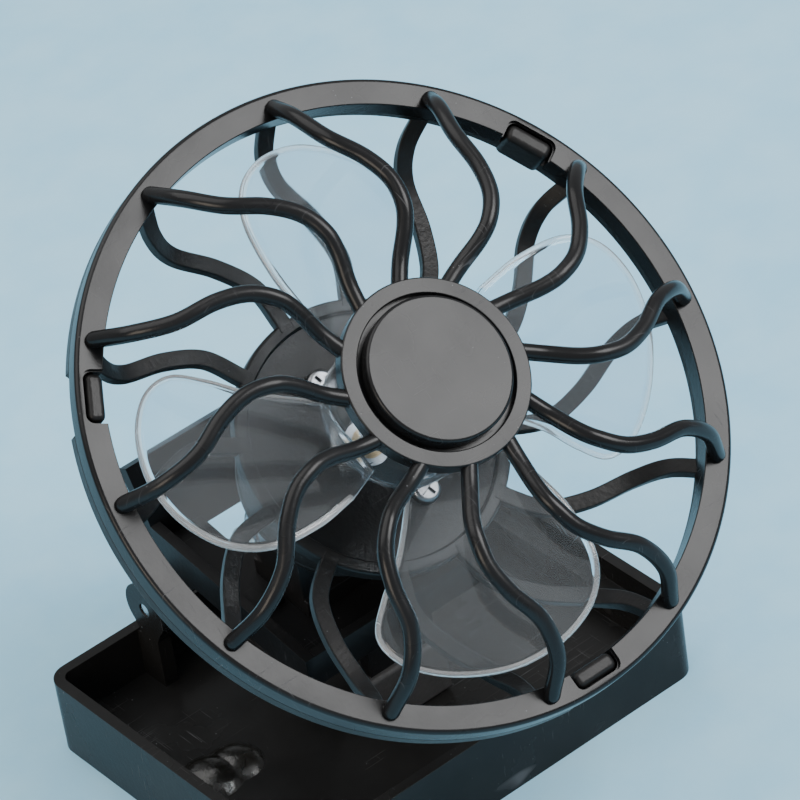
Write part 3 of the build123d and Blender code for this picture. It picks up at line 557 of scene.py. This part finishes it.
def upright(shell, outline, low, high, angle, top_inset=0.0):
    """Upright block over an outline; its top edge can be rounded over."""
    turn = Matrix.Rotation(radians(angle), 3, "Z")
    levels = [(low, 0.0), (high, 0.0)]
    if top_inset:
        turns = [pi / 2 * k / 3 for k in range(4)]
        levels = [(low, 0.0)] + [(high - top_inset * (1 - sin(t)), top_inset * (1 - cos(t))) for t in turns]
    points = []
    for height, inset in levels:
        points += [turn @ Vector((p.x, p.y, height)) for p in inward(outline, inset)]
    size = len(outline)
    faces = [list(range(size)), [(len(levels) - 1) * size + k for k in range(size)]]
    for i in range(len(levels) - 1):
        for k in range(size):
            n = (k + 1) % size
            faces.append([i * size + k, i * size + n, (i + 1) * size + n, (i + 1) * size + k])
    shell.add(points, faces)


def cut(shell, cutter):
    """Takes the cutter's shape out of a shell."""
    pieces = []
    for part in (shell, cutter):
        mesh = bpy.data.meshes.new("cut")
        mesh.from_pydata(part.points, [], part.faces)
        work = bmesh.new()
        work.from_mesh(mesh)
        bmesh.ops.recalc_face_normals(work, faces=work.faces)
        work.to_mesh(mesh)
        work.free()
        piece = bpy.data.objects.new("cut", mesh)
        bpy.context.scene.collection.objects.link(piece)
        pieces.append(piece)
    body, tool = pieces
    difference = body.modifiers.new("difference", "BOOLEAN")
    difference.operation = "DIFFERENCE"
    difference.solver = "EXACT"
    difference.object = tool
    apply_modifiers(body)
    result = Shell()
    result.add([v.co for v in body.data.vertices], [list(face.vertices) for face in body.data.polygons])
    for piece in pieces:
        bpy.data.objects.remove(piece)
    return result


def front_guard():
    shell = Shell()
    edge = rounded(
        [
            (RING_INNER, RING_JOIN, 0),
            (RING_OUTER, RING_JOIN, 0.12),
            (RING_OUTER, 0, RING_EDGE),
            (RING_INNER, 0, 0.14),
        ]
    )
    lathe(shell, edge, RING_STEPS)
    pockets = Shell()
    slots = Shell()
    pocket = snap_outline(CUTTER_INNER, POCKET_OUTER, POCKET_HALF, POCKET_CORNER)
    slot = snap_outline(CUTTER_INNER, SNAP_OUTER + SLOT_GAP, SNAP_HALF + SLOT_GAP, SNAP_CORNER + SLOT_GAP)
    for angle in SNAP_ANGLES:
        upright(pockets, pocket, -POCKET_DEPTH, POCKET_CUTTER_TOP, angle)
        upright(slots, slot, SLOT_CUTTER_BOTTOM, SLOT_CUTTER_TOP, angle)
    shell = cut(cut(shell, pockets), slots)
    hub = rounded(
        [
            (0, HUB_BOTTOM, 0),
            (HUB_RADIUS, HUB_BOTTOM, 0.3),
            (HUB_RADIUS, HUB_TOP, 0.22),
            (SEAT_RADIUS, HUB_TOP, 0.18),
            (SEAT_RADIUS, SEAT_Z, 0),
            (0, SEAT_Z, 0),
        ]
    )
    lathe(shell, hub, HUB_STEPS)
    points = [polar(r, a, z) for r, a, z in zip(SPOKE_R, SPOKE_ANGLE, SPOKE_Z)]
    line, scales = rounded_end(smooth_line(points, SPOKE_PARTS), SPOKE_RADIUS)
    section = circle(SPOKE_RADIUS, SPOKE_SIDES)
    for i in range(SPOKES):
        turn = Matrix.Rotation(radians(360 / SPOKES * i), 3, "Z")
        sweep(shell, [turn @ p for p in line], section, scales)
    return shell.piece("guard_front", "front_guard", "head", "guard_plastic", [GUARD])


def hub_disc():
    shell = Shell()
    dish = DISC_TOP - DISC_DISH
    outline = rounded(
        [
            (0, SEAT_Z, 0),
            (DISC_RADIUS, SEAT_Z, 0),
            (DISC_RADIUS, DISC_TOP, DISC_EDGE),
            (DISC_DISH_RADIUS, dish, 0),
            (0, dish, 0),
        ],
        6,
    )
    lathe(shell, outline, HUB_STEPS)
    return shell.piece("hub_cap_disc", "hub_disc", "head", "guard_plastic", [GUARD])


def ring_notch(r, z, angle):
    """Sets the rear ring's rim back at each snap."""
    for centre in SNAP_ANGLES:
        if near(angle, centre, r, NOTCH_HALF):
            r = min(r, RING_OUTER - NOTCH_DEPTH)
    return r, z


def rear_guard():
    shell = Shell()
    edge = rounded(
        [
            (REAR_RING_INNER, RING_BACK, 0.15),
            (RING_OUTER, RING_BACK, 0.35),
            (RING_OUTER, RING_JOIN, 0.1),
            (REAR_RING_INNER, RING_JOIN, 0),
        ]
    )
    lathe(shell, edge, REAR_RING_STEPS, ring_notch)
    plate = rounded(
        [
            (BOSS_HOLE_RADIUS, PLATE_BACK_Z, 0),
            (BOSS_HOLE_RADIUS, PLATE_FACE_Z, 0.1),
            (PLATE_RIM_INNER, PLATE_FACE_Z, 0.2),
            (PLATE_RIM_INNER, PLATE_RIM_Z, 0.25),
            (PLATE_RADIUS, PLATE_RIM_Z, 0.45),
            (PLATE_RADIUS, PLATE_BACK_Z, 0.3),
            (CUP_OUTER, PLATE_BACK_Z, 0.25),
            (CUP_OUTER, CUP_BACK_Z, 0.15),
            (CUP_INNER, CUP_BACK_Z, 0),
            (CUP_INNER, PLATE_BACK_Z, 0),
        ]
    )
    lathe(shell, plate, HUB_STEPS)
    tab = snap_outline(SNAP_INNER, SNAP_OUTER, SNAP_HALF, SNAP_CORNER)
    for angle in SNAP_ANGLES:
        upright(shell, tab, RING_BACK, SNAP_TOP, angle, SNAP_EDGE)
    points = [polar(r, a, z) for r, a, z in zip(RIBBON_R, RIBBON_ANGLE, RIBBON_Z)]
    line = smooth_line(points, RIBBON_PARTS)
    w, t, c = RIBBON_WIDTH / 2, RIBBON_THICKNESS / 2, RIBBON_CORNER
    section = rounded([(-w, -t, c), (w, -t, c), (w, t, c), (-w, t, c)], 3)
    for i in range(SPOKES):
        turn = Matrix.Rotation(radians(360 / SPOKES * i), 3, "Z")
        sweep(shell, [turn @ p for p in line], section)
    return shell.piece("guard_rear", "rear_guard", "head", "rear_plastic", [REAR])


def inward(outline, distance):
    """Moves a closed clockwise outline inwards."""
    moved = []
    count = len(outline)
    for i in range(count):
        along = (outline[(i + 1) % count] - outline[i - 1]).normalized()
        moved.append(outline[i] + Vector((along.y, -along.x)) * distance)
    return moved


def blade_layers():
    """(distance in from the edge, half thickness) of the blade's rounded, beaded rim."""
    rim = BLADE_BEAD_HALF
    layers = [(rim * (1 - cos(radians(a))), rim * sin(radians(a))) for a in (0, 25, 50, 72, 90)]
    layers.append((BLADE_BEAD_WIDTH * 0.75, rim * 0.97))
    layers.append((BLADE_BEAD_WIDTH, BLADE_HALF))
    layers.append((BLADE_BEAD_WIDTH + 0.2, BLADE_HALF))
    return layers


def blade(shell, turn):
    edge = smooth_line(BLADE_OUTLINE, BLADE_PARTS)
    outline = edge + [Vector(BLADE_ROOT[1]), Vector(BLADE_ROOT[0])]
    layers = blade_layers()
    pitch = Matrix.Rotation(radians(BLADE_PITCH), 3, "X")
    rings = []
    for side in (-1, 1):
        order = reversed(layers) if side < 0 else layers[1:]
        for distance, half in order:
            rings.append([(p, side * half) for p in inward(outline, distance)])
    points = []
    for ring in rings:
        for p, z in ring:
            points.append(turn @ (pitch @ Vector((p.x, p.y, z)) + Vector((0, 0, BLADE_Z))))
    size = len(outline)
    rim_faces_painted_highlight = []
    flat_faces = [list(range(size)), [(len(rings) - 1) * size + k for k in range(size)]]
    for i in range(len(rings) - 1):
        for k in range(size):
            n = (k + 1) % size
            face = [i * size + k, i * size + n, (i + 1) * size + n, (i + 1) * size + k]
            # faces of the rounded rim take the second material, the whiter copy that paints in the rim's
            # highlight
            on_rim = 2 <= i < len(rings) - 3 and k < len(edge)
            (rim_faces_painted_highlight if on_rim else flat_faces).append(face)
    shell.add(points, flat_faces + rim_faces_painted_highlight, [0] * len(flat_faces) + [1] * len(rim_faces_painted_highlight))


def fan_rotor():
    shell = Shell()
    hub = rounded(
        [
            (SHAFT_RADIUS, ROTOR_BOSS_BACK_Z, 0),
            (ROTOR_BOSS_RADIUS, ROTOR_BOSS_BACK_Z, 0.2),
            (ROTOR_BOSS_RADIUS, ROTOR_ROOF_Z, 0),
            (ROTOR_HUB_INNER, ROTOR_ROOF_Z, 0.3),
            (ROTOR_HUB_INNER, ROTOR_BACK_Z, 0.1),
            (ROTOR_HUB_RADIUS, ROTOR_BACK_Z, 0.2),
            (ROTOR_HUB_RADIUS, ROTOR_FRONT_Z, 1.0),
            (0, ROTOR_FRONT_Z, 0),
            (0, SHAFT_FRONT_Z, 0),
            (SHAFT_RADIUS, SHAFT_FRONT_Z, 0),
        ]
    )
    lathe(shell, hub, ROTOR_STEPS)
    for i in range(BLADES):
        blade(shell, Matrix.Rotation(radians(BLADE_FIRST_ANGLE + 360 / BLADES * i), 3, "Z"))
    return shell.piece("rotor_clear", "fan_rotor", "rotor", "clear_plastic", [CLEAR, CLEAR_EDGE_HIGHLIGHT], 50)


def softened(node, name, body, slot, width, material):
    """A copy of a CAD node's mesh with its edges rounded."""
    mesh = frame["nodes"][node].data.copy()
    mesh.name = name
    mesh.materials.clear()
    mesh.materials.append(material)
    work = bmesh.new()
    work.from_mesh(mesh)
    bmesh.ops.remove_doubles(work, verts=work.verts, dist=1e-6)
    bmesh.ops.dissolve_limit(work, angle_limit=radians(1.0), verts=work.verts, edges=work.edges)
    for face in work.faces:
        face.material_index = 0
    work.to_mesh(mesh)
    work.free()
    piece = add_piece(name, mesh, node, body, 40)
    rounding = piece.modifiers.new("rounding", "BEVEL")
    rounding.width = width
    rounding.segments = 3
    rounding.limit_method = "ANGLE"
    rounding.angle_limit = radians(35)
    rounding.harden_normals = True
    apply_modifiers(piece)
    return piece


# ---- stage ----------------------------------------------------------------------------------------
def add_camera():
    data = bpy.data.cameras.new("camera")
    data.lens = LENS
    data.sensor_width = 36.0
    data.clip_start = 0.05
    data.clip_end = 20.0
    camera = bpy.data.objects.new("camera", data)
    back = CAMERA_BACK.normalized()
    up = back.cross(CAMERA_RIGHT).normalized()
    right = up.cross(back).normalized()
    turn = Matrix((right, up, back)).transposed()
    camera.matrix_world = Matrix.Translation(CAMERA_PLACE) @ turn.to_4x4()
    bpy.context.scene.collection.objects.link(camera)
    bpy.context.scene.camera = camera


def add_floor():
    mesh = bpy.data.meshes.new("floor")
    far = FLOOR_HALF
    corners = [(-far, -far, 0), (far, -far, 0), (far, far, 0), (-far, far, 0)]
    mesh.from_pydata(corners, [], [[0, 1, 2, 3]])
    mesh.materials.append(paper_floor())
    floor = bpy.data.objects.new("floor", mesh)
    bpy.context.scene.collection.objects.link(floor)


def add_softbox(name, direction, distance, size, radiance, color):
    """Square area light that faces the fan head and looks equally bright from anywhere in front."""
    direction = Vector(direction)
    light = bpy.data.lights.new(name, "AREA")
    light.size = size
    light.energy = radiance * pi * size * size
    light.color = color
    box = bpy.data.objects.new(name, light)
    box.location = HEAD_ORIGIN + direction.normalized() * distance
    box.rotation_euler = direction.to_track_quat("Z", "Y").to_euler()
    bpy.context.scene.collection.objects.link(box)


def add_world():
    world = bpy.data.worlds.new("studio")
    bpy.context.scene.world = world
    world.use_nodes = True
    background = world.node_tree.nodes["Background"]
    background.inputs["Color"].default_value = (*WORLD_COLOR, 1)
    background.inputs["Strength"].default_value = WORLD_STRENGTH


add_camera()
add_floor()
add_world()
for softbox in SOFTBOXES:
    add_softbox(*softbox)

for node, material in NODE_MATERIALS.items():
    mesh = frame["nodes"][node].data
    mesh.materials.clear()
    mesh.materials.append(material)

front_guard()
hub_disc()
rear_guard()
fan_rotor()
for row in SOFTENED:
    softened(*row)
